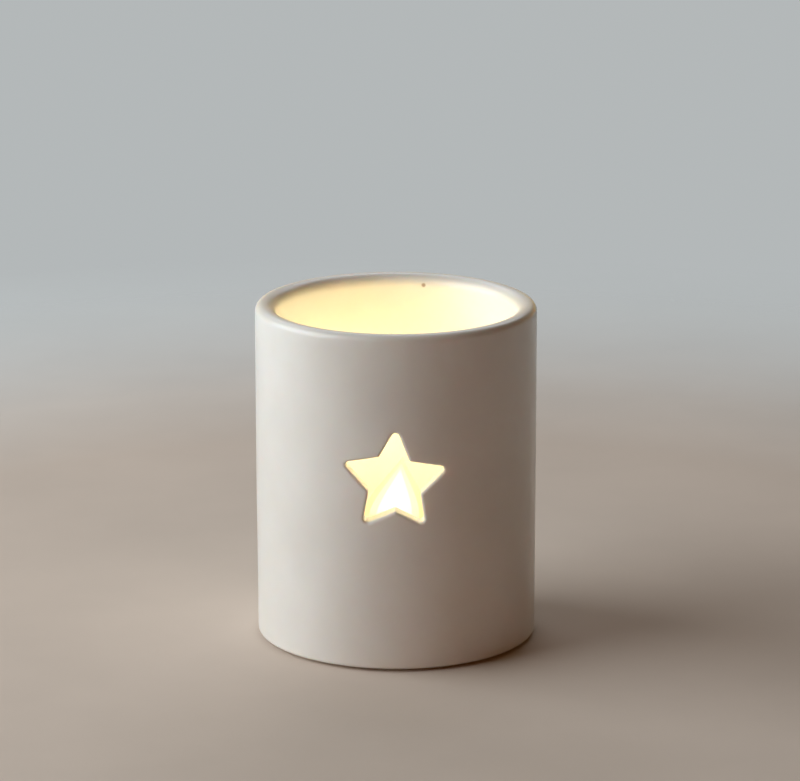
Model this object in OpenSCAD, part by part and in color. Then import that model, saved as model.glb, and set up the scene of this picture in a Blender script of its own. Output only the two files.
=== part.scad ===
// Tealight holder: a round ceramic pot with one star window cut through its wall,
// and the wax tealight that stands inside it.
// Millimetres, +Z up. The origin is the centre of the underside, and the window faces -Y.

/* [Holder] */
// Outside diameter of the wall
holder_d = 70; // [66:0.5:90]
// Height from the table to the top of the rim
holder_h = 84.8; // [75:0.2:120]
// Thickness of the wall
wall_t = 5.3; // [5:0.1:7]
// Height of the inside floor above the table
floor_h = 5; // [3.5:0.1:8]
// Radius of the rim's outer edge
rim_out_round = 1.8; // [0.5:0.1:2]
// Radius of the rim's inner edge
rim_in_round = 3; // [0.5:0.1:3]
// Radius of the outside edge at the base
base_round = 0.8; // [0.4:0.1:1.5]
// Radius of the inside corner between the wall and the floor
floor_round = 4; // [1:0.5:6]
// Height of the foot ring, which lifts the pot's edge off the table
foot_h = 0.7; // [0.2:0.1:1]
// How far the foot ring stands in from the outside of the wall
foot_inset = 2.2; // [1.5:0.1:3]
// Width of the foot ring
foot_w = 5; // [3:0.5:8]
// Depth of the hollow inside the foot ring
foot_hollow = 0.8; // [0.3:0.1:1.5]

/* [Star window] */
// Height of the star's centre above the table
star_h = 48.4; // [30:0.1:60]
// Sideways place of the star's centre
star_x = -0.3; // [-5:0.1:5]
// Distance from the star's centre to its points, before they are rounded
star_point_r = 13.5; // [10:0.1:16]
// Distance from the star's centre to its notches, before they are rounded
star_notch_r = 7; // [5:0.1:8]
// Turn of the whole star, anticlockwise in degrees
star_turn = -1.5; // [-36:0.5:36]
// Radius of the star's points
star_point_round = 1; // [0.2:0.1:1.2]
// Radius of the star's notches
star_notch_round = 0.8; // [0.2:0.1:1.5]

/* [Tealight cup] */
// Diameter of the cup's wall
cup_d = 38; // [37:0.1:39]
// Height of the cup
cup_h = 15.5; // [14:0.5:17]
// Thickness of the cup's metal
cup_t = 0.3; // [0.2:0.05:0.5]
// Radius of the cup's bottom edge
cup_round = 1.4; // [0.8:0.1:2]
// Radius of the rolled bead round the cup's mouth
bead_r = 0.5; // [0.4:0.05:0.7]
// Radius of the circle that the pressed locating ring follows
ring_r = 8.6; // [8:0.1:10]
// Height of the pressed locating ring
ring_h = 0.9; // [0.6:0.1:1.2]

/* [Candle] */
// Height of the wax
wax_h = 12.5; // [9:0.5:13]
// Gap between the wax and the cup's wall
wax_gap = 0.3; // [0.1:0.05:0.5]
// Depth of the dish that burning leaves in the wax
dish_depth = 0.7; // [0.3:0.1:1.5]
// Diameter of the wick
wick_d = 1.6; // [1.2:0.1:2]
// Length of wick that stands above the wax
wick_proud = 7.5; // [4:0.5:10]
// Diameter of the wick sustainer's disc
sustainer_d = 13; // [11:0.5:14]
// Thickness of the sustainer's metal
sustainer_t = 0.3; // [0.2:0.05:0.4]
// Height of the sustainer's neck above its disc
neck_h = 3; // [2:0.5:5]

/* [Hidden] */
$fn = 96;

holder_r = holder_d / 2;
bore_r = holder_r - wall_t;
foot_out_r = holder_r - foot_inset;
foot_in_r = foot_out_r - foot_w;

star_points = 5;
// The star is cut by hand. From the top clockwise, how far each point and each notch leans from its
// even place, in degrees anticlockwise, and how much longer the way out to each notch is
point_lean = [0, -3, -1, 2, 1];
notch_lean = [2, -7, 3, 6, -3];
notch_extra = [-0.8, 0, 0.4, -0.2, 0.2];
corner_steps = 6;

cup_r = cup_d / 2;
seat_h = floor_h;
wax_bottom = seat_h + cup_t;
wax_r = cup_r - cup_t - wax_gap;
wax_top = wax_bottom + wax_h;
dish_r = wax_r - 1;
dish_ball_r = (dish_r * dish_r + dish_depth * dish_depth) / (2 * dish_depth);
wick_r = wick_d / 2;
wick_top = wax_top - dish_depth + wick_proud;
over = 1;

// A half section with its outer corners rounded at the bottom (low) and at the top (high)
module rounded_section(r, h, low, high) {
    translate([0, low]) square([r, h - low - high]);
    if (low > 0) {
        square([r - low, low]);
        translate([r - low, low]) circle(low);
    }
    if (high > 0) {
        translate([0, h - high]) square([r - high, high]);
        translate([r - high, h - high]) circle(high);
    }
}

// The hollow inside the pot, which widens over the rim's inner edge
module hollow_section() {
    translate([0, floor_h]) rounded_section(bore_r, holder_h - floor_h + over, floor_round, 0);
    difference() {
        translate([0, holder_h - rim_in_round])
            square([bore_r + rim_in_round, rim_in_round + over]);
        translate([bore_r + rim_in_round, holder_h - rim_in_round]) circle(rim_in_round);
    }
}

module holder_section() {
    difference() {
        union() {
            translate([0, foot_h])
                rounded_section(holder_r, holder_h - foot_h, base_round, rim_out_round);
            square([foot_out_r, foot_h + base_round]);
        }
        hollow_section();
        translate([0, -over]) square([foot_in_r, foot_hollow + over]);
    }
}

function unit(v) = v / norm(v);
function polar(r, angle) = r * [cos(angle), sin(angle)];

// The arc of radius r that rounds corner b between its neighbours a and c
function round_corner(a, b, c, r) =
    let (
        u = unit(a - b),
        v = unit(c - b),
        half = acos(u * v) / 2,
        centre = b + unit(u + v) * r / sin(half),
        first = b + u * r / tan(half) - centre,
        last = b + v * r / tan(half) - centre,
        start = atan2(first.y, first.x),
        sweep = (atan2(last.y, last.x) - start + 540) % 360 - 180
    )
    [for (i = [0:corner_steps]) centre + polar(r, start + sweep * i / corner_steps)];

star_step = 360 / star_points;
function star_angle(i) = 90 + star_turn - star_step * i;
function star_point(i) = polar(star_point_r, star_angle(i) + point_lean[i % star_points]);
function star_notch(i) =
    let (k = (i + star_points) % star_points)
    polar(star_notch_r + notch_extra[k], star_angle(k + 0.5) + notch_lean[k]);

star_outline = [
    for (i = [0:star_points - 1]) each concat(
        round_corner(star_notch(i - 1), star_point(i), star_notch(i), star_point_round),
        round_corner(star_point(i), star_notch(i), star_point(i + 1), star_notch_round)
    )
];

// The window is cut straight through the front wall
module star_window() {
    translate([star_x, -bore_r / 2, star_h])
        rotate([90, 0, 0])
        linear_extrude(holder_r)
        polygon(star_outline);
}

module holder() {
    color("ghostwhite")
    difference() {
        rotate_extrude() holder_section();
        star_window();
    }
}

// Half section of the ring pressed up into the cup's base: a half round of radius r
module ring_section(r) {
    intersection() {
        translate([ring_r, 0]) circle(r);
        square([cup_r, r]);
    }
}

module cup_section() {
    difference() {
        rounded_section(cup_r, cup_h, cup_round, 0);
        translate([0, cup_t])
            rounded_section(cup_r - cup_t, cup_h, cup_round - cup_t, 0);
    }
    translate([cup_r, cup_h - bead_r]) circle(bead_r);
    ring_section(ring_h);
}

module tealight_cup() {
    color("silver")
    translate([0, 0, seat_h])
    rotate_extrude()
    difference() {
        cup_section();
        ring_section(ring_h - cup_t);
    }
}

module wax_section() {
    difference() {
        rounded_section(wax_r, wax_h, cup_round, 0);
        translate([0, -cup_t]) ring_section(ring_h + wax_gap);
    }
}

module wax() {
    color("ivory")
    difference() {
        translate([0, 0, wax_bottom]) rotate_extrude() wax_section();
        translate([0, 0, wax_top - dish_depth + dish_ball_r]) sphere(dish_ball_r);
        sustainer_solid();
        wick_solid();
    }
}

module wick_solid() {
    translate([0, 0, wax_bottom]) cylinder(h = wick_top - wax_bottom - wick_r, r = wick_r);
    translate([0, 0, wick_top - wick_r]) sphere(wick_r);
}

module wick() {
    color("dimgray") wick_solid();
}

module sustainer_solid() {
    translate([0, 0, wax_bottom]) cylinder(h = sustainer_t, d = sustainer_d);
    translate([0, 0, wax_bottom]) cylinder(h = sustainer_t + neck_h, r = wick_r + sustainer_t);
}

module wick_sustainer() {
    color("lightgray")
    difference() {
        sustainer_solid();
        translate([0, 0, wax_bottom - over])
            cylinder(h = sustainer_t + neck_h + 2 * over, r = wick_r);
    }
}

holder();
tealight_cup();
wax();
wick();
wick_sustainer();
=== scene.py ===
"""Looks of the tealight holder: a glazed ceramic pot with a star window and a lit tealight in it.

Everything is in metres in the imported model's frame: +Z up, origin under the middle of the foot,
and the star window faces -Y.
"""

import math

import bmesh
import bpy
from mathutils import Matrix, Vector, noise


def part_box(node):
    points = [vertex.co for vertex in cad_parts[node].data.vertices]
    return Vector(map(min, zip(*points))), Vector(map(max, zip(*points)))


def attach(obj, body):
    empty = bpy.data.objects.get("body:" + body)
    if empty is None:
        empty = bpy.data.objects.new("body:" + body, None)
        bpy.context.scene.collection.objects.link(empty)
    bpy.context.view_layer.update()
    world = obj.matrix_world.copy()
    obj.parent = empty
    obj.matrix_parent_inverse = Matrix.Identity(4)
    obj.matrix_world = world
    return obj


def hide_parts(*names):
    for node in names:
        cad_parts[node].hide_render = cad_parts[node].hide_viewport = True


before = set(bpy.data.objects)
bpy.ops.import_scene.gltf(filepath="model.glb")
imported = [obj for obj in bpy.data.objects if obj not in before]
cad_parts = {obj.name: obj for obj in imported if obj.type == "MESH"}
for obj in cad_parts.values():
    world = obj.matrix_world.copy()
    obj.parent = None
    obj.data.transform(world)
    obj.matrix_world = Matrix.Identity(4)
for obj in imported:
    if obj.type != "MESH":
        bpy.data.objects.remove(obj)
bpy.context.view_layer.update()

MM = 0.001

# ---------------------------------------------------------------- sizes of the pot, as in the CAD
POT_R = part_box("holder")[1].x
POT_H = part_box("holder")[1].z
WALL = 5.3 * MM
BORE_R = POT_R - WALL
FLOOR_H = 5 * MM
RIM_OUT_ROUND = 1.8 * MM
RIM_IN_ROUND = 3 * MM
BASE_ROUND = 0.8 * MM
FLOOR_ROUND = 4 * MM
FOOT_H = 0.7 * MM
FOOT_OUT_R = POT_R - 2.2 * MM
FOOT_IN_R = FOOT_OUT_R - 5 * MM
FOOT_HOLLOW = 0.8 * MM

# The star window, as in the CAD
STAR_X = -0.3 * MM
STAR_Z = 48.4 * MM
STAR_POINT_R = 13.5 * MM
STAR_NOTCH_R = 7 * MM
STAR_TURN = -1.5  # degrees
POINT_LEAN = (0, -3, -1, 2, 1)  # degrees
NOTCH_LEAN = (2, -7, 3, 6, -3)  # degrees
NOTCH_EXTRA = (-0.8, 0, 0.4, -0.2, 0.2)  # millimetres
STAR_POINT_ROUND = 1 * MM
STAR_NOTCH_ROUND = 0.8 * MM
STAR_EDGE_ROUND = 0.7 * MM  # how far the glaze rounds the window's edges

# How uneven the hand-finished pot is
LOWER_LEFT_IN = 0.25 * MM  # how far its lower left side stands in
WALL_WAVE = 0.12 * MM
RIM_DROP = 0.12 * MM
FOOT_EDGE = 0.1 * MM  # how far the foot's outer corners are cut back
HOLLOW_ROUND = 0.3 * MM  # radius of the foot's inner corner

# How the pot's mesh is divided
COLUMNS = 144
PATCH_COLUMNS = 28  # columns that the star's patch is wide
PATCH_ROWS = 32  # rows that the star's patch is high
PATCH_HALF_H = 18 * MM
ARC_STEPS = 3  # steps in half of a rounded star corner
EDGE_STEPS = 6  # steps along a straight side of the star
STAR_RINGS = (0.78, 0.56, 0.36, 0.19, 0.07)  # each ring's share of the way out to the patch's edge
CENTRE_R = 14 * MM  # where the rings of the flat floor and underside start to halve their points


# ---------------------------------------------------------------- mesh helpers
class Shell:
    """The vertices and faces of one piece while it is being built."""

    def __init__(self):
        self.points = []
        self.faces = []

    def loop(self, points):
        start = len(self.points)
        self.points.extend(Vector(p) for p in points)
        return list(range(start, len(self.points)))

    def bridge(self, a, b):
        """Quads between two closed loops of the same length."""
        for i in range(len(a)):
            j = (i + 1) % len(a)
            self.faces.append((a[i], a[j], b[j], b[i]))

    def cap(self, loop, centre):
        tip = self.loop([centre])[0]
        for i in range(len(loop)):
            self.faces.append((loop[i], loop[(i + 1) % len(loop)], tip))

    def close(self, loop, r, z):
        """A flat disc inside a round loop of radius r, with half as many points on each ring inward."""
        while len(loop) > 12:
            r *= 0.62
            count = len(loop) // 2
            inner = self.loop([around(r, 2 * math.pi * i / count, z) for i in range(count)])
            for i in range(count):
                a, b, c = loop[2 * i], loop[2 * i + 1], loop[(2 * i + 2) % len(loop)]
                self.faces.append((a, b, inner[i]))
                self.faces.append((b, c, inner[(i + 1) % count], inner[i]))
            loop = inner
        self.cap(loop, (0, 0, z))

    def lathe(self, profile, columns, shape=None):
        """Loops round Z, one for each (r, z) of the profile, bridged in turn. shape(r, z, angle) may
        return another radius."""
        loops = []
        for r, z in profile:
            ring = []
            for i in range(columns):
                angle = 2 * math.pi * i / columns
                radius = shape(r, z, angle) if shape else r
                ring.append(around(radius, angle, z))
            loops.append(self.loop(ring))
        for low, high in zip(loops, loops[1:]):
            self.bridge(low, high)
        return loops

    def piece(self, name, levels=1):
        """The finished object, with loose points removed, normals outward and smooth shading."""
        mesh = bpy.data.meshes.new(name)
        mesh.from_pydata(self.points, [], self.faces)
        work = bmesh.new()
        work.from_mesh(mesh)
        loose = [v for v in work.verts if not v.link_faces]
        bmesh.ops.delete(work, geom=loose, context="VERTS")
        bmesh.ops.recalc_face_normals(work, faces=work.faces)
        work.to_mesh(mesh)
        work.free()
        mesh.polygons.foreach_set("use_smooth", [True] * len(mesh.polygons))
        ob = bpy.data.objects.new(name, mesh)
        bpy.context.scene.collection.objects.link(ob)
        if levels:
            smooth = ob.modifiers.new("smooth", "SUBSURF")
            smooth.levels = levels
            smooth.render_levels = levels
        return ob


def around(r, angle, z):
    """The point at radius r and height z, with angle 0 at the front and growing towards +X."""
    return Vector((r * math.sin(angle), -r * math.cos(angle), z))


def mix(a, b, share):
    return a + (b - a) * share


def steps(a, b, count):
    """count values from a up to but not including b."""
    return [mix(a, b, i / count) for i in range(count)]


def arc(cx, cz, r, start, end, count):
    """count + 1 points (r, z) along an arc, with angles in degrees."""
    turns = [math.radians(mix(start, end, i / count)) for i in range(count + 1)]
    return [(cx + r * math.cos(t), cz + r * math.sin(t)) for t in turns]


def smoothstep(low, high, x):
    t = min(1.0, max(0.0, (x - low) / (high - low)))
    return t * t * (3 - 2 * t)


# ---------------------------------------------------------------- the star's outline
def polar(r, degrees):
    return Vector((r * math.cos(math.radians(degrees)), r * math.sin(math.radians(degrees))))


def rounded_corner(a, b, c, r, hollow):
    """Points and outward normals along the arc that rounds corner b. Outward is away from the
    window, and a hollow corner is a notch, whose arc curves the other way."""
    u, v = (a - b).normalized(), (c - b).normalized()
    half = u.angle(v) / 2
    centre = b + (u + v).normalized() * r / math.sin(half)
    first = b + u * r / math.tan(half) - centre
    last = b + v * r / math.tan(half) - centre
    start = math.atan2(first.y, first.x)
    sweep = (math.atan2(last.y, last.x) - start + 3 * math.pi) % (2 * math.pi) - math.pi
    found = []
    for i in range(2 * ARC_STEPS + 1):
        turn = start + sweep * i / (2 * ARC_STEPS)
        way = Vector((math.cos(turn), math.sin(turn)))
        found.append((centre + way * r, -way if hollow else way))
    return found


def star_outline():
    """(point, outward normal) pairs round the window, clockwise from the middle of the top point."""
    corners = []
    for i in range(5):
        angle = 90 + STAR_TURN - 72 * i
        corners.append((polar(STAR_POINT_R, angle + POINT_LEAN[i]), STAR_POINT_ROUND, False))
        notch_r = STAR_NOTCH_R + NOTCH_EXTRA[i] * MM
        corners.append((polar(notch_r, angle - 36 + NOTCH_LEAN[i]), STAR_NOTCH_ROUND, True))
    arcs = []
    for i, (corner, r, hollow) in enumerate(corners):
        before, after = corners[i - 1][0], corners[(i + 1) % len(corners)][0]
        arcs.append(rounded_corner(before, corner, after, r, hollow))
    outline = []
    for i, bend in enumerate(arcs):
        outline.extend(bend)
        (p, normal), (q, _) = bend[-1], arcs[(i + 1) % len(arcs)][0]
        for k in range(1, EDGE_STEPS):
            outline.append((mix(p, q, k / EDGE_STEPS), normal))
    middle = Vector((STAR_X, STAR_Z))
    outline = [(p + middle, n) for p, n in outline]
    return outline[ARC_STEPS:] + outline[:ARC_STEPS]


# ---------------------------------------------------------------- the pot
def pot_profile():
    """(r, z) down the pot's half section, from under its middle, up the outside and down the inside,
    with the first row of the star's patch on each wall."""
    low, high = STAR_Z - PATCH_HALF_H, STAR_Z + PATCH_HALF_H
    rim_z = POT_H - RIM_OUT_ROUND
    mouth_z = POT_H - RIM_IN_ROUND
    hollow = [(r, FOOT_HOLLOW) for r in steps(CENTRE_R, FOOT_IN_R - 0.5 * MM, 6)]
    foot = arc(FOOT_IN_R - HOLLOW_ROUND, FOOT_HOLLOW - HOLLOW_ROUND, HOLLOW_ROUND, 90, 0, 2)
    foot += [(FOOT_IN_R + 0.2 * MM, 0)]
    foot += [(r, 0) for r in steps(FOOT_IN_R + 1.2 * MM, FOOT_OUT_R, 4)]
    foot += [(FOOT_OUT_R - FOOT_EDGE, 0), (FOOT_OUT_R, FOOT_EDGE)]
    foot += [(FOOT_OUT_R, FOOT_H - FOOT_EDGE), (FOOT_OUT_R + FOOT_EDGE, FOOT_H)]
    foot += arc(POT_R - BASE_ROUND, FOOT_H + BASE_ROUND, BASE_ROUND, -90, 0, 5)
    lower = [(POT_R, z) for z in steps(FOOT_H + BASE_ROUND + 1 * MM, low, 15)]
    patch = [(POT_R, z) for z in steps(low, high, PATCH_ROWS)]
    upper = [(POT_R, z) for z in steps(high, rim_z, 9)]
    rim = arc(POT_R - RIM_OUT_ROUND, rim_z, RIM_OUT_ROUND, 0, 90, 5)
    rim += arc(BORE_R + RIM_IN_ROUND, mouth_z, RIM_IN_ROUND, 90, 180, 7)
    inner_upper = [(BORE_R, z) for z in steps(mouth_z - 1.5 * MM, high, 8)]
    inner_patch = [(BORE_R, z) for z in steps(high, low, PATCH_ROWS)]
    inner_lower = [(BORE_R, z) for z in steps(low, FLOOR_H + FLOOR_ROUND, 10)]
    corner = arc(BORE_R - FLOOR_ROUND, FLOOR_H + FLOOR_ROUND, FLOOR_ROUND, 0, -90, 6)
    floor = [(r, FLOOR_H) for r in steps(BORE_R - FLOOR_ROUND - 2 * MM, CENTRE_R, 6)]
    floor += [(CENTRE_R, FLOOR_H)]
    before = hollow + foot + lower
    between = patch + upper + rim + inner_upper
    profile = before + between + inner_patch + inner_lower + corner + floor
    return profile, len(before), len(before) + len(between)


def hand_made(p):
    """The place of a point of the pot, moved a little inward and down, because a hand-finished
    casting is never quite round."""
    angle = math.atan2(p.x, -p.y)
    lower_left = max(0.0, -math.sin(angle)) * smoothstep(42 * MM, 4 * MM, p.z)
    spot = Vector((math.sin(angle), math.cos(angle), p.z / (40 * MM)))
    wave = 0.5 + 0.5 * noise.noise(spot * 1.3 + Vector((3.1, 0.4, 7.7)))
    inward = LOWER_LEFT_IN * lower_left + WALL_WAVE * wave
    r = math.hypot(p.x, p.y)
    share = smoothstep(0, BORE_R, r)
    scale = 1 - inward * share / max(r, MM)
    drop = smoothstep(POT_H - 12 * MM, POT_H, p.z) * RIM_DROP
    drop *= 0.5 + 0.5 * noise.noise(Vector((math.sin(angle), math.cos(angle), 4.2)) * 1.1)
    return Vector((p.x * scale, p.y * scale, p.z - drop))


def patch_loop(loops, first, down):
    """The vertices round the star's patch, clockwise seen from the front, from the top middle. first
    is the patch's first profile row, and down says that the rows run down and not up."""
    half = PATCH_COLUMNS // 2
    rows = [loops[first + i] for i in range(PATCH_ROWS + 1)]
    if not down:
        rows.reverse()
    right, left = half, -half
    loop = [rows[0][c] for c in range(0, right)]
    loop += [rows[r][right] for r in range(0, PATCH_ROWS)]
    loop += [rows[-1][c] for c in range(right, left, -1)]
    loop += [rows[r][left] for r in range(PATCH_ROWS, 0, -1)]
    return loop + [rows[0][c] for c in range(left, 0)]


def wall_point(radius, x, z, depth):
    """The point of a wall at x and z, moved depth along +Y."""
    return Vector((x, -math.sqrt(radius * radius - x * x) + depth, z))


def star_side(shell, outline, border, radius, inward):
    """Loops from the patch's border to where the window's rounded edge meets its cut side. inward is
    +1 on the outside wall and -1 on the inside one. Returns the last loop."""
    rings = []
    held = STAR_EDGE_ROUND + 0.35 * MM
    for share in STAR_RINGS:
        ring = []
        for (p, normal), edge in zip(outline, border):
            q = p + normal * held
            far = shell.points[edge]
            angle = mix(math.asin(q.x / radius), math.atan2(far.x, -far.y), share)
            ring.append(around(radius, angle, mix(q.y, far.z, share)))
        rings.append(ring)
    bends = [(held, 0.0)]
    for turn in (0, 30, 60, 90):
        way = math.radians(turn)
        bends.append((STAR_EDGE_ROUND * (1 - math.sin(way)), STAR_EDGE_ROUND * (1 - math.cos(way))))
    for out, depth in bends:
        ring = []
        for p, normal in outline:
            q = p + normal * out
            ring.append(wall_point(radius, q.x, q.y, depth * inward))
        rings.append(ring)
    last = border
    for ring in rings:
        loop = shell.loop(ring)
        shell.bridge(last, loop)
        last = loop
    return last


def make_pot():
    profile, outer_first, inner_first = pot_profile()
    shell = Shell()
    loops = shell.lathe(profile, COLUMNS)
    half = PATCH_COLUMNS // 2
    cut = {c % COLUMNS for c in range(-half, half)}
    rows = {outer_first + i for i in range(PATCH_ROWS)}
    rows |= {inner_first + i for i in range(PATCH_ROWS)}
    kept = []
    for k, face in enumerate(shell.faces):
        row, column = divmod(k, COLUMNS)
        if not (row in rows and column in cut):
            kept.append(face)
    shell.faces = kept
    shell.close(loops[0], CENTRE_R, FOOT_HOLLOW)
    shell.close(loops[-1], CENTRE_R, FLOOR_H)
    outline = star_outline()
    outside = star_side(shell, outline, patch_loop(loops, outer_first, False), POT_R, 1)
    inside = star_side(shell, outline, patch_loop(loops, inner_first, True), BORE_R, -1)
    last = outside
    for share in (0.25, 0.5, 0.75):
        ring = [
            mix(shell.points[a], shell.points[b], share) for a, b in zip(outside, inside)
        ]
        loop = shell.loop(ring)
        shell.bridge(last, loop)
        last = loop
    shell.bridge(last, inside)
    shell.points = [hand_made(p) for p in shell.points]
    return shell.piece("pot")


# ---------------------------------------------------------------- sizes of the tealight, as in the CAD
CUP_LOW, CUP_HIGH = (corner.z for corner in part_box("tealight_cup"))
BEAD_R = 0.5 * MM
CUP_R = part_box("tealight_cup")[1].x - BEAD_R
CUP_T = 0.3 * MM
CUP_ROUND = 1.4 * MM
RING_R = 8.6 * MM
RING_H = 0.9 * MM
WAX_GAP = 0.3 * MM
WAX_LOW, WAX_HIGH = (corner.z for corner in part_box("wax"))
WAX_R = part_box("wax")[1].x
DISH = 0.7 * MM
WICK_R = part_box("wick")[1].x
WICK_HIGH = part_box("wick")[1].z
DISC_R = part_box("wick_sustainer")[1].x
DISC_T = 0.3 * MM
NECK_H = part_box("wick_sustainer")[1].z - WAX_LOW - DISC_T

CUP_COLUMNS = 192
CUP_CENTRE_R = 6.5 * MM  # where the rings of the flat base start to halve their points
FLUTES = 48
FLUTE_DEPTH = 0.14 * MM
POOL_R = 15.2 * MM  # radius of the melted wax
POOL_Z = WAX_HIGH - 0.32 * MM  # and the height of its top
WICK_BEND = Vector((-1.5, -0.5)) * MM  # how far the wick's tip leans
FLAME_LOW = WICK_HIGH - 3.4 * MM
FLAME_H = 24 * MM
FLAME_R = 6.2 * MM
FLAME_LEAN = 3 * MM  # how far the draught bends the flame's tip towards +X
FLAME_SHELLS = (0.36, 0.56, 0.78, 1)  # sizes of the thin shells that make it up
FLAME_POWER = 2.5


# ---------------------------------------------------------------- the aluminium cup
def pressed_ring(r, count):
    """Half round of radius r over the ring's circle, from outside to inside."""
    return arc(RING_R, 0, r, 0, 180, count)


def cup_profile():
    """(r, z) of the cup above its own underside: under the base, up the outside, round the bead and
    down the inside."""
    h = CUP_HIGH - CUP_LOW
    under = [(CUP_CENTRE_R, 0), (RING_R - 1.2 * MM, 0)]
    under += list(reversed(pressed_ring(RING_H - CUP_T, 6)))
    under += [(r, 0) for r in steps(RING_R + 1.4 * MM, CUP_R - CUP_ROUND, 4)]
    outside = arc(CUP_R - CUP_ROUND, CUP_ROUND, CUP_ROUND, -90, 0, 4)
    outside += [(CUP_R, z) for z in steps(CUP_ROUND + 1.2 * MM, h - 1.7 * MM, 8)]
    bead = arc(CUP_R, h - BEAD_R, BEAD_R, -70, 200, 9)
    inner_r = CUP_R - CUP_T
    inside = [(inner_r, z) for z in steps(h - 1.7 * MM, CUP_ROUND + 1.2 * MM, 8)]
    inside += arc(inner_r - 1.1 * MM, CUP_T + 1.1 * MM, 1.1 * MM, 0, -90, 4)
    base = [(r, CUP_T) for r in steps(inner_r - 2 * MM, RING_R + 1.4 * MM, 4)]
    base += [(r, z) for r, z in pressed_ring(RING_H, 6) if z > CUP_T]
    base += [(RING_R - 1.3 * MM, CUP_T), (CUP_CENTRE_R, CUP_T)]
    return [(r, z + CUP_LOW) for r, z in under + outside + bead + inside + base]


def fluted(r, z, angle):
    """The cup's side is drawn in fine upright creases, deepest halfway up."""
    if r < CUP_R - CUP_T - 0.1 * MM:
        return r
    share = smoothstep(CUP_LOW, CUP_LOW + 4 * MM, z) * smoothstep(CUP_HIGH, CUP_HIGH - 3 * MM, z)
    crease = 0.5 + 0.5 * math.cos(FLUTES * angle)
    uneven = 0.6 + 0.4 * noise.noise(Vector((math.cos(angle), math.sin(angle), 0.3)) * 3)
    return r - FLUTE_DEPTH * share * crease * uneven


def make_cup():
    shell = Shell()
    loops = shell.lathe(cup_profile(), CUP_COLUMNS, fluted)
    shell.close(loops[0], CUP_CENTRE_R, CUP_LOW)
    shell.close(loops[-1], CUP_CENTRE_R, CUP_LOW + CUP_T)
    return shell.piece("foil_cup")


# ---------------------------------------------------------------- the wax
def wax_profile():
    under = [(CUP_CENTRE_R, WAX_LOW)]
    groove = [(RING_R + side * 1.2 * MM, WAX_LOW) for side in (-1, 1)]
    roof = [(RING_R + side * 0.8 * MM, WAX_LOW + RING_H - 0.1 * MM) for side in (-1, 1)]
    under += [groove[0], roof[0], roof[1], groove[1]]
    under += [(r, WAX_LOW) for r in steps(RING_R + 2.2 * MM, WAX_R - CUP_ROUND - 0.5 * MM, 3)]
    side = arc(WAX_R - CUP_ROUND, WAX_LOW + CUP_ROUND, CUP_ROUND, -90, 0, 4)
    side += [(WAX_R, z) for z in steps(WAX_LOW + 2.4 * MM, WAX_HIGH - 0.5 * MM, 8)]
    lip = arc(WAX_R - 0.35 * MM, WAX_HIGH - 0.35 * MM, 0.35 * MM, 0, 90, 3)
    lip += [(WAX_R - 1.0 * MM, WAX_HIGH - 0.08 * MM), (WAX_R - 1.8 * MM, WAX_HIGH - 0.14 * MM)]
    shore = []
    for r in steps(POOL_R + 0.8 * MM, 7.5 * MM, 8):
        deep = smoothstep(POOL_R + 1 * MM, POOL_R - 3 * MM, r)
        shore.append((r, WAX_HIGH - 0.18 * MM - (DISH - 0.18 * MM) * deep))
    return under + side + lip + shore


def uneven_shore(r, z, angle):
    """The melted part's edge wanders a little, as heat doesn't spread evenly."""
    if z < WAX_HIGH - DISH - 0.1 * MM or r > WAX_R - 2.2 * MM or r < 6 * MM:
        return r
    return r + 0.7 * MM * noise.noise(Vector((math.cos(angle), math.sin(angle), 1.7)) * 1.6)


def make_wax():
    shell = Shell()
    profile = wax_profile()
    shore_r = profile[-1][0]
    loops = shell.lathe(profile, 96, uneven_shore)
    shell.close(loops[0], CUP_CENTRE_R, WAX_LOW)
    shell.close(loops[-1], shore_r, WAX_HIGH - DISH)
    return shell.piece("wax_slug")


def make_pool():
    """The melted wax round the wick: flat on top, with a lip that climbs the wick."""
    shell = Shell()
    low = WAX_HIGH - DISH - 0.15 * MM
    under = [(r, low) for r in steps(9 * MM, POOL_R - 2 * MM, 3)]
    edge = [(POOL_R - 0.8 * MM, POOL_Z - 0.25 * MM), (POOL_R + 0.2 * MM, POOL_Z - 0.12 * MM)]
    edge += [(POOL_R + 0.25 * MM, POOL_Z - 0.04 * MM), (POOL_R - 0.1 * MM, POOL_Z - 0.01 * MM)]
    top = [(r, POOL_Z) for r in steps(POOL_R - 1 * MM, 2.6 * MM, 8)]
    climb = [(2.0 * MM, POOL_Z + 0.06 * MM), (1.4 * MM, POOL_Z + 0.22 * MM)]
    climb += [(0.95 * MM, POOL_Z + 0.55 * MM), (0.7 * MM, POOL_Z + 0.8 * MM)]
    loops = shell.lathe(under + edge + top + climb, 48, uneven_shore)
    shell.close(loops[0], 9 * MM, low)
    shell.close(loops[-1], climb[-1][0], climb[-1][1])
    return shell.piece("melted_wax")


# ---------------------------------------------------------------- the wick and its sustainer
def wick_centre(z):
    share = smoothstep(WAX_HIGH - 1 * MM, WICK_HIGH + 2 * MM, z)
    return Vector((WICK_BEND.x * share, WICK_BEND.y * share, z))


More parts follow.
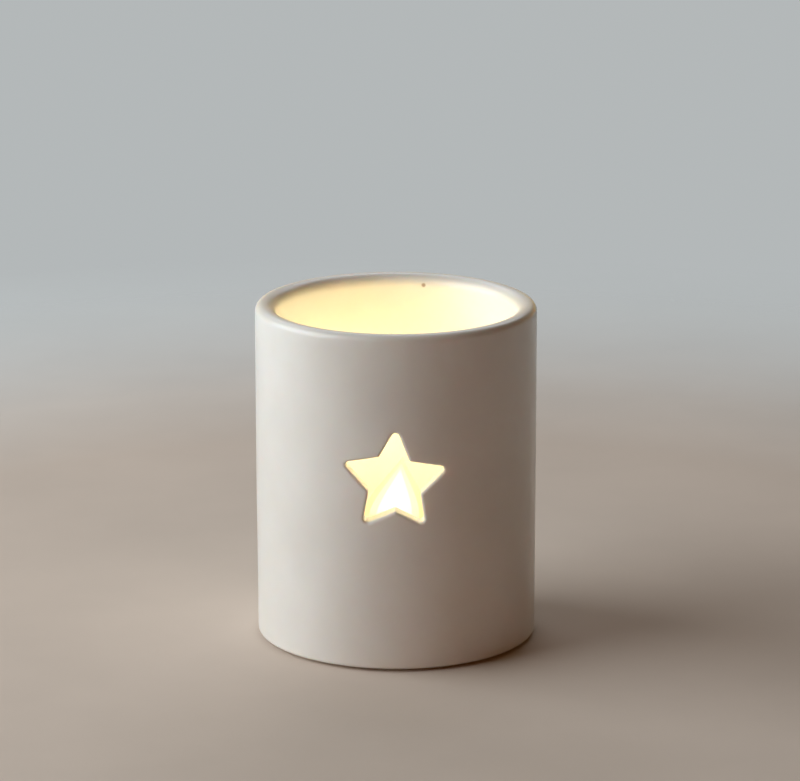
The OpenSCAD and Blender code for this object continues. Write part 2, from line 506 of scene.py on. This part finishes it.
def make_wick():
    """A braided cord: two sets of strands that cross, thinner and ragged where it has burnt."""
    shell = Shell()
    rows, columns, strands = 64, 20, 2
    pitch = 2.4 * MM
    loops = []
    for k in range(rows + 1):
        z = mix(WAX_LOW, WICK_HIGH - 0.3 * MM, k / rows)
        burnt = smoothstep(WICK_HIGH - 5 * MM, WICK_HIGH, z)
        ring = []
        for i in range(columns):
            angle = 2 * math.pi * i / columns
            turn = 2 * math.pi * z / pitch
            over = max(abs(math.sin(strands * angle + turn)), abs(math.sin(strands * angle - turn)))
            ragged = noise.noise(Vector((math.cos(angle), math.sin(angle), z * 900))) * 0.25 * burnt
            r = WICK_R * (0.8 + 0.2 * over) * (1 - 0.35 * burnt + ragged)
            ring.append(wick_centre(z) + Vector((r * math.sin(angle), -r * math.cos(angle), 0)))
        loops.append(shell.loop(ring))
    for low, high in zip(loops, loops[1:]):
        shell.bridge(low, high)
    shell.cap(loops[0], (0, 0, WAX_LOW))
    shell.cap(loops[-1], wick_centre(WICK_HIGH))
    return shell.piece("wick_braid")


def crimped(r, z, angle):
    """The sustainer's neck is nipped onto the wick from four sides."""
    height = (z - WAX_LOW - DISC_T) / NECK_H
    if height <= 0.05 or r > 2 * MM:
        return r
    nip = math.sin(math.pi * min(1, height)) ** 2
    return r - 0.18 * MM * nip * (0.5 + 0.5 * math.cos(4 * angle))


def make_sustainer():
    neck_r = WICK_R + DISC_T
    z0, z1 = WAX_LOW, WAX_LOW + DISC_T
    outline = [(WICK_R, z0)]
    outline += [(r, z0) for r in steps(2 * MM, DISC_R - 0.3 * MM, 4)]
    outline += arc(DISC_R - DISC_T / 2, z0 + DISC_T / 2, DISC_T / 2, -90, 90, 4)
    outline += [(r, z1) for r in steps(DISC_R - 0.6 * MM, neck_r + 0.7 * MM, 4)]
    outline += arc(neck_r + 0.5 * MM, z1 + 0.5 * MM, 0.5 * MM, -90, -180, 3)
    outline += [(neck_r, z) for z in steps(z1 + 0.9 * MM, z1 + NECK_H - 0.1 * MM, 5)]
    outline += [(neck_r - 0.1 * MM, z1 + NECK_H), (WICK_R, z1 + NECK_H)]
    outline += [(WICK_R, z) for z in steps(z1 + NECK_H - 0.5 * MM, z0 + 0.3 * MM, 5)]
    shell = Shell()
    loops = shell.lathe(outline, 48, crimped)
    shell.bridge(loops[-1], loops[0])
    return shell.piece("sustainer_plate")


# ---------------------------------------------------------------- the flame
def flame_sway(z):
    return FLAME_LEAN * ((z - FLAME_LOW) / FLAME_H) ** 1.3


def flame_shell(shell, share):
    """A teardrop round the wick's tip, this share of the flame's size."""
    rows, columns = 24, 32
    foot = FLAME_LOW + FLAME_H * 0.12 * (1 - share)
    high = FLAME_H * mix(0.6, 1, share)
    loops = []
    for k in range(1, rows):
        t = k / rows
        z = foot + high * t
        r = share * FLAME_R * 1.55 * math.sin(math.pi * t ** 0.75) ** 0.8 * (1 - t) ** 0.35
        centre = wick_centre(min(z, WICK_HIGH))
        sway = flame_sway(z)
        ring = []
        for i in range(columns):
            angle = 2 * math.pi * i / columns
            ring.append(around(r, angle, z) + Vector((centre.x + sway, centre.y, 0)))
        loops.append(shell.loop(ring))
    for below, above in zip(loops, loops[1:]):
        shell.bridge(below, above)
    tip = wick_centre(WICK_HIGH)
    shell.cap(loops[0], (tip.x, tip.y, foot))
    shell.cap(loops[-1], (tip.x + flame_sway(foot + high), tip.y, foot + high))


def make_flame():
    """Thin teardrops inside one another, so that the flame fades towards its edge."""
    shell = Shell()
    depth = []
    for share in FLAME_SHELLS:
        flame_shell(shell, share)
        depth += [1 - share] * (len(shell.points) - len(depth))
    ob = shell.piece("flame")
    ob.data.attributes.new("depth", "FLOAT", "POINT").data.foreach_set("value", depth)
    return ob


# ---------------------------------------------------------------- material helpers
class Paint:
    """A node material with one Principled shader, fed by procedural patterns in object space."""

    def __init__(self, name, **values):
        self.material = bpy.data.materials.new(name)
        self.material.use_nodes = True
        self.tree = self.material.node_tree
        self.shader = self.tree.nodes["Principled BSDF"]
        for socket, value in values.items():
            self.shader.inputs[socket.replace("_", " ")].default_value = value
        self.where = self.add("ShaderNodeTexCoord").outputs["Object"]

    def add(self, kind, inputs=None, **settings):
        made = self.tree.nodes.new(kind)
        for name, value in settings.items():
            setattr(made, name, value)
        for name, value in (inputs or {}).items():
            if isinstance(value, bpy.types.NodeSocket):
                self.tree.links.new(value, made.inputs[name])
            else:
                made.inputs[name].default_value = value
        return made

    def noise(self, size, detail=3, stretch=None, shift=0):
        """Noise between about 0.3 and 0.7 with features of this size, in metres."""
        place = self.where
        if stretch or shift:
            inputs = {"Vector": place, "Location": (shift, shift, shift)}
            inputs["Scale"] = stretch or (1, 1, 1)
            place = self.add("ShaderNodeMapping", inputs).outputs[0]
        inputs = {"Vector": place, "Scale": 1 / size, "Detail": detail}
        return self.add("ShaderNodeTexNoise", inputs).outputs[0]

    def up(self):
        """The height of each point at rest, in metres."""
        return self.add("ShaderNodeSeparateXYZ", {"Vector": self.where}).outputs["Z"]

    def height(self, low, high):
        """0 below the height low and 1 above the height high."""
        return self.remap(self.up(), low, high, 0, 1)

    def remap(self, value, low, high, to_low, to_high):
        inputs = {"Value": value, "From Min": low, "From Max": high}
        inputs["To Min"], inputs["To Max"] = to_low, to_high
        return self.add("ShaderNodeMapRange", inputs).outputs[0]

    def blend(self, share, a, b):
        """Colour a where share is 0 and colour b where it is 1."""
        made = self.add("ShaderNodeMix", data_type="RGBA")
        ports = {0: share, 6: a, 7: b}
        for index, value in ports.items():
            if isinstance(value, bpy.types.NodeSocket):
                self.tree.links.new(value, made.inputs[index])
            else:
                made.inputs[index].default_value = value if index == 0 else (*value, 1)
        return made.outputs[2]

    def maths(self, operation, a, b):
        return self.add("ShaderNodeMath", {0: a, 1: b}, operation=operation).outputs[0]

    def ramp(self, value, stops):
        made = self.add("ShaderNodeValToRGB", {0: value})
        points = made.color_ramp.elements
        while len(points) < len(stops):
            points.new(0.5)
        for point, (place, colour) in zip(points, stops):
            point.position = place
            point.color = (*colour, 1)
        return made.outputs[0]

    def bump(self, *layers):
        """Chains (height, distance in metres) layers into the shader's normal."""
        normal = None
        for height, distance in layers:
            inputs = {"Height": height, "Distance": distance, "Strength": 1.0}
            if normal:
                inputs["Normal"] = normal
            normal = self.add("ShaderNodeBump", inputs).outputs[0]
        self.drive("Normal", normal)

    def drive(self, socket, value):
        self.tree.links.new(value, self.shader.inputs[socket])

    def coat(self, ob):
        ob.data.materials.clear()
        ob.data.materials.append(self.material)


# ---------------------------------------------------------------- materials
SPECK = around(BORE_R, math.radians(166.4), POT_H - 2.5 * MM)  # an iron speck inside the back rim
IRON = (0.22, 0.13, 0.07)
GLAZE = (0.80, 0.775, 0.73), (0.84, 0.82, 0.78)
CLAY = (0.66, 0.6, 0.52)
ALUMINIUM = (0.70, 0.70, 0.71), (0.86, 0.86, 0.87)
TIN = (0.46, 0.46, 0.47), (0.66, 0.66, 0.66)
WAX = (0.88, 0.85, 0.77), (0.94, 0.92, 0.86)
HOT_WAX = (0.86, 0.82, 0.71), (0.92, 0.89, 0.8)
COTTON = (0.62, 0.55, 0.42), (0.85, 0.8, 0.68)
CHAR = (0.008, 0.007, 0.006), (0.05, 0.045, 0.04)
EMBER = (1.0, 0.22, 0.03)
FLAME_EDGE = (1.0, 0.58, 0.17)
FLAME_CORE = (
    (0.0, (0.02, 0.06, 0.3)),
    (0.12, (0.12, 0.1, 0.2)),
    (0.26, (1.0, 0.8, 0.45)),
    (0.42, (1.0, 0.96, 0.88)),
    (0.8, (1.0, 0.94, 0.82)),
    (1.0, (1.0, 0.75, 0.35)),
)  # (share of the flame's height, colour)


def glazed_ceramic():
    """A satin glaze that light passes a little way into, down to a ragged edge on the bare foot."""
    paint = Paint(
        "glazed_ceramic",
        Subsurface_Weight=0.3,
        Subsurface_Radius=(1.0, 0.62, 0.4),
        Subsurface_Scale=2.2 * MM,
        Coat_Weight=0.5,
        Coat_Roughness=0.22,
        IOR=1.5,
    )
    cloud = paint.remap(paint.noise(26 * MM, 4), 0.35, 0.65, 0, 1)
    inputs = {0: paint.where, 1: SPECK}
    away = paint.add("ShaderNodeVectorMath", inputs, operation="DISTANCE").outputs["Value"]
    speck = paint.remap(away, 0.3 * MM, 0.7 * MM, 0.75, 0)
    specked = paint.blend(speck, paint.blend(cloud, *GLAZE), IRON)
    ragged = paint.remap(paint.noise(4 * MM, 2), 0.3, 0.7, 0.3 * MM, 0.55 * MM)
    glazed = paint.maths("GREATER_THAN", paint.up(), ragged)
    paint.drive("Base Color", paint.blend(glazed, CLAY, specked))
    satin = paint.remap(paint.noise(9 * MM, 3, shift=0.3), 0.3, 0.7, 0.34, 0.46)
    bare = paint.remap(glazed, 0, 1, 0.9, 0.0)
    paint.drive("Roughness", paint.maths("MAXIMUM", satin, bare))
    paint.bump((paint.noise(14 * MM, 2, shift=0.7), 0.25 * MM), (paint.noise(1.6 * MM, 2), 0.012 * MM))
    return paint


def drawn_aluminium():
    paint = Paint("drawn_aluminium", Metallic=1.0)
    streak = paint.noise(0.4 * MM, 3, stretch=(1, 1, 0.03))
    paint.drive("Base Color", paint.blend(streak, *ALUMINIUM))
    paint.drive("Roughness", paint.remap(paint.noise(3 * MM, 4), 0.3, 0.7, 0.22, 0.4))
    paint.bump((paint.noise(2.5 * MM, 3), 0.08 * MM), (streak, 0.01 * MM))
    return paint


def candle_wax():
    paint = Paint(
        "candle_wax",
        Subsurface_Weight=0.7,
        Subsurface_Radius=(1.0, 0.7, 0.45),
        Subsurface_Scale=5 * MM,
        IOR=1.43,
    )
    cloud = paint.remap(paint.noise(5 * MM, 4), 0.35, 0.65, 0, 1)
    paint.drive("Base Color", paint.blend(cloud, *WAX))
    paint.drive("Roughness", paint.remap(paint.noise(1.5 * MM, 3), 0.3, 0.7, 0.38, 0.55))
    paint.bump((paint.noise(3 * MM, 3), 0.12 * MM), (paint.noise(0.5 * MM, 3), 0.02 * MM))
    return paint


def melted_wax():
    paint = Paint(
        "melted_wax",
        Subsurface_Weight=0.35,
        Subsurface_Radius=(1.0, 0.75, 0.5),
        Subsurface_Scale=1.5 * MM,
        Roughness=0.04,
        IOR=1.43,
    )
    cloud = paint.remap(paint.noise(7 * MM, 2), 0.35, 0.65, 0, 1)
    paint.drive("Base Color", paint.blend(cloud, *HOT_WAX))
    paint.bump((paint.noise(9 * MM, 1), 0.05 * MM))
    return paint


def charred_cotton():
    paint = Paint("charred_cotton", Roughness=0.95, Emission_Strength=4)
    burnt = paint.height(WAX_HIGH + 0.6 * MM, WAX_HIGH + 3.2 * MM)
    fibre = paint.noise(0.25 * MM, 3, stretch=(1, 1, 0.3))
    cotton = paint.blend(fibre, *COTTON)
    paint.drive("Base Color", paint.blend(burnt, cotton, paint.blend(fibre, *CHAR)))
    glow = paint.height(WICK_HIGH - 1.6 * MM, WICK_HIGH)
    patchy = paint.remap(paint.noise(0.6 * MM, 2), 0.42, 0.6, 0, 1)
    embers = paint.maths("MULTIPLY", glow, patchy)
    paint.drive("Emission Color", paint.blend(embers, (0, 0, 0), EMBER))
    paint.bump((fibre, 0.06 * MM))
    return paint


def tinned_steel():
    paint = Paint("tinned_steel", Metallic=1.0)
    cloud = paint.noise(1.2 * MM, 4)
    paint.drive("Base Color", paint.blend(cloud, *TIN))
    paint.drive("Roughness", paint.remap(cloud, 0.3, 0.7, 0.25, 0.45))
    paint.bump((cloud, 0.02 * MM))
    return paint


def burning():
    """The flame's own light: blue and thin at the foot, white above the wick, orange at its edge."""
    paint = Paint("burning", Roughness=1.0, Specular_IOR_Level=0, Emission_Strength=FLAME_POWER)
    paint.shader.inputs["Base Color"].default_value = (0, 0, 0, 1)
    rise = paint.height(FLAME_LOW, FLAME_LOW + FLAME_H)
    depth = paint.add("ShaderNodeAttribute", attribute_name="depth").outputs["Fac"]
    inner = paint.remap(depth, 0, 0.4, 0, 1)
    paint.drive("Emission Color", paint.blend(inner, FLAME_EDGE, paint.ramp(rise, FLAME_CORE)))
    paint.drive("Alpha", paint.remap(rise, 0.0, 0.35, 0.05, 0.17))
    return paint


# ---------------------------------------------------------------- putting the pieces on their bodies
def place(ob, paint, body, slot, node=None):
    """Puts a piece on the body that it moves with, in place of a CAD piece if node names one."""
    paint.coat(ob)
    if node:
        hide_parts(node)
    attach(ob, body)


place(make_pot(), glazed_ceramic(), "holder", "glazed_ceramic", "holder")
place(make_cup(), drawn_aluminium(), "tealight_cup", "aluminium", "tealight_cup")
place(make_wax(), candle_wax(), "candle", "wax", "wax")
place(make_pool(), melted_wax(), "candle", "wax")
place(make_wick(), charred_cotton(), "candle", "wick_cotton", "wick")
place(make_sustainer(), tinned_steel(), "candle", "tinned_steel", "wick_sustainer")
place(make_flame(), burning(), "candle", None)


# ---------------------------------------------------------------- camera
CAMERA_PLACE = (1.0 * MM, -1.0, 325.85 * MM)
CAMERA_DOWN = 0.2578  # how far it looks down, in radians
CAMERA_LENS = 186.9  # millimetres, on a sensor 36 mm wide


def make_camera():
    """The photo's view, from about 1 m away and a little under 15 degrees above level."""
    data = bpy.data.cameras.new("camera")
    data.lens = CAMERA_LENS
    data.sensor_width = 36
    data.clip_start = 0.05
    data.clip_end = 50
    ob = bpy.data.objects.new("camera", data)
    bpy.context.scene.collection.objects.link(ob)
    ob.location = CAMERA_PLACE
    ob.rotation_euler = (math.pi / 2 - CAMERA_DOWN, 0, 0)
    bpy.context.scene.camera = ob


# ---------------------------------------------------------------- studio
KEY_ANGLE = 86  # degrees round to the left from straight in front
KEY_AWAY = 1.0
KEY_HEIGHT = 0.56
KEY_SIZE = (1.25, 1.0)
KEY_POWER = 15.0
KEY_COLOUR = (0.905, 0.972, 1.0)
WASH_PLACE = (0, 1.5, 1.1)  # the light above and behind the object
WASH_SIZE = (1.6, 1.0)
WASH_POWER = 10.6
WASH_COLOUR = (0.88, 0.92, 1.0)
WALL_BEHIND = (1.4, 1.0, 0.45)  # light from low behind the object
ROOM_IN_FRONT = (0.22, 0.06, 0.0)  # light from the dim warm room in front of it
CEILING = (0.09, 0.085, 0.05)  # light from overhead
GLOW_X = -4 * MM  # the middle of the flame's glow, which fills the pot
GLOW_Z = 50 * MM
GLOW_R = 8 * MM
GLOW_POWER = 0.0455
GLOW_COLOUR = (1.0, 0.81, 0.41)
BACKDROP = (0.455, 0.48, 0.485)
FLOOR_NEAR = (0.685, 0.58, 0.5)
FLOOR_FAR = (0.80, 0.84, 0.85)
FLOOR_CHANGE = (0.18, 0.38)  # how far out the near tone ends and the far one starts
FLOOR_FADE = (0.24, 0.42)  # how far out the floor starts to fade into the backdrop and has gone
FLOOR_FIRST_R = 0.05  # radius of the floor's innermost ring
FLOOR_GROWTH = 1.35  # each ring's radius over that of the ring inside it
FLOOR_RINGS = 16


def make_floor():
    """A wide floor that the camera sees fade into the plain backdrop, as in a photographer's cove."""
    shell = Shell()
    profile = [(FLOOR_FIRST_R * FLOOR_GROWTH**k, 0.0) for k in range(FLOOR_RINGS)]
    loops = shell.lathe(profile, 64)
    shell.cap(loops[0], (0, 0, 0))
    floor = shell.piece("floor", levels=0)
    paint = Paint("pale_floor", Roughness=0.75)
    away = paint.add("ShaderNodeVectorMath", {0: paint.where}, operation="LENGTH").outputs["Value"]
    tone = paint.blend(paint.remap(away, *FLOOR_CHANGE, 0, 1), FLOOR_NEAR, FLOOR_FAR)
    grain = paint.remap(paint.noise(60 * MM, 4), 0.3, 0.7, 0.96, 1.04)
    inputs = {0: tone, "Scale": grain}
    varied = paint.add("ShaderNodeVectorMath", inputs, operation="SCALE").outputs[0]
    paint.drive("Base Color", varied)
    faded = paint.remap(away, *FLOOR_FADE, 0, 1)
    seen = paint.add("ShaderNodeLightPath").outputs["Is Camera Ray"]
    hidden = paint.maths("MULTIPLY", faded, seen)
    paint.drive("Alpha", paint.maths("SUBTRACT", 1, hidden))
    paint.bump((paint.noise(1.2 * MM, 3), 0.03 * MM))
    paint.coat(floor)


def make_light(kind, name, where, power, colour):
    light = bpy.data.lights.new(name, kind)
    light.energy = power
    light.color = colour
    ob = bpy.data.objects.new(name, light)
    bpy.context.scene.collection.objects.link(ob)
    ob.location = where
    ob.visible_camera = False
    return ob


def make_softbox(name, where, aim, size, power, colour):
    ob = make_light("AREA", name, where, power, colour)
    ob.data.shape = "RECTANGLE"
    ob.data.size, ob.data.size_y = size
    ob.rotation_euler = (Vector(aim) - ob.location).to_track_quat("-Z", "Y").to_euler()


def make_key():
    """One big soft window-like light, low on the left."""
    where = around(KEY_AWAY, -math.radians(KEY_ANGLE), KEY_HEIGHT)
    make_softbox("key", where, (0, 0, POT_H / 2), KEY_SIZE, KEY_POWER, KEY_COLOUR)


def make_wash():
    """A soft light from above and behind, for the rim and the floor round the pot."""
    below = (WASH_PLACE[0], WASH_PLACE[1], 0)
    make_softbox("wash", WASH_PLACE, below, WASH_SIZE, WASH_POWER, WASH_COLOUR)


def make_glow():
    """The flame's glow, which moves with the candle."""
    ob = make_light("POINT", "glow", (GLOW_X, 0, GLOW_Z), GLOW_POWER, GLOW_COLOUR)
    ob.data.shadow_soft_size = GLOW_R
    ob.visible_glossy = False  # the flame itself is what the glaze reflects
    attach(ob, "candle")


def join(tree, kind, *values, **settings):
    """The output of a new node of the world, with these values on its first sockets."""
    node = tree.nodes.new(kind)
    for name, value in settings.items():
        setattr(node, name, value)
    for socket, value in zip(node.inputs, values):
        if isinstance(value, bpy.types.NodeSocket):
            tree.links.new(value, socket)
        else:
            socket.default_value = value
    return node.outputs[0]


def maths(tree, operation, *values):
    return join(tree, "ShaderNodeMath", *values, operation=operation)


def towards(tree, value, power):
    """value to this power, and 0 where value is below 0."""
    return maths(tree, "POWER", maths(tree, "MAXIMUM", value, 0), power)


def soft_light(tree):
    """Light from low behind, from in front and from overhead, each fading out from its middle."""
    way = tree.nodes.new("ShaderNodeSeparateXYZ")
    tree.links.new(tree.nodes.new("ShaderNodeTexCoord").outputs["Generated"], way.inputs[0])
    y, z = way.outputs["Y"], way.outputs["Z"]
    low = towards(tree, maths(tree, "SUBTRACT", 1, maths(tree, "ABSOLUTE", z)), 4)
    behind = maths(tree, "MULTIPLY", towards(tree, y, 2), low)
    in_front = towards(tree, maths(tree, "MULTIPLY", y, -1), 2)
    wall = join(tree, "ShaderNodeBackground", (*WALL_BEHIND, 1), behind)
    room = join(tree, "ShaderNodeBackground", (*ROOM_IN_FRONT, 1), in_front)
    ceiling = join(tree, "ShaderNodeBackground", (*CEILING, 1), towards(tree, z, 4))
    level = join(tree, "ShaderNodeAddShader", wall, room)
    return join(tree, "ShaderNodeAddShader", level, ceiling)


def make_world():
    """The soft light all round, and a plain pale backdrop that only the camera sees."""
    world = bpy.data.worlds.new("studio")
    bpy.context.scene.world = world
    world.use_nodes = True
    tree = world.node_tree
    tree.nodes.clear()
    backdrop = join(tree, "ShaderNodeBackground", (*BACKDROP, 1), 1)
    seen = tree.nodes.new("ShaderNodeLightPath").outputs["Is Camera Ray"]
    shown = join(tree, "ShaderNodeMixShader", seen, soft_light(tree), backdrop)
    tree.links.new(shown, tree.nodes.new("ShaderNodeOutputWorld").inputs["Surface"])


make_floor()
make_key()
make_wash()
make_glow()
make_world()
make_camera()
bpy.context.scene.view_settings.view_transform = "Standard"
